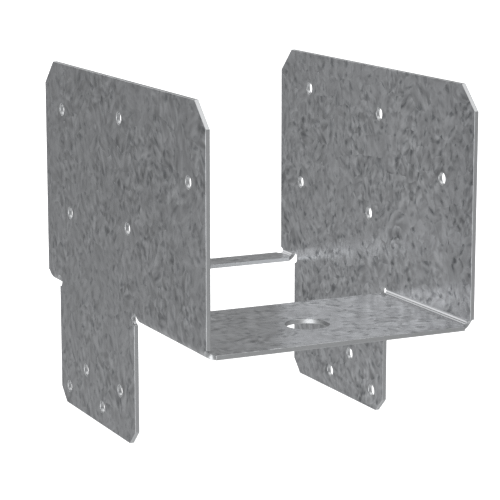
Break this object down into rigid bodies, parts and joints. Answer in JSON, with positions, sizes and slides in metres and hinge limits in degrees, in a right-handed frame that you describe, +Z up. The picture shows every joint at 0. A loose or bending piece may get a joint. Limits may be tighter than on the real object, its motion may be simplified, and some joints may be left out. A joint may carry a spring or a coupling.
{
  "type": "column end cap",
  "caption": "Folded sheet-steel channel that seats the end of a beam on top of a post, with nailed side plates and legs.",
  "frame": {"origin": "on the ground under the middle of the cap, level with the lower ends of the legs", "axes": "+X across the channel from the left plate to the right one, +Y along the beam from the deep seat to the rear bar, +Z up"},
  "size_m": [0.0936, 0.1334, 0.1191],
  "materials": {
    "galvanised_sheet": "spangled zinc, half matt"
  },
  "bodies": {
    "root": {"end_cap": "galvanised_sheet"}
  },
  "joints": []
}
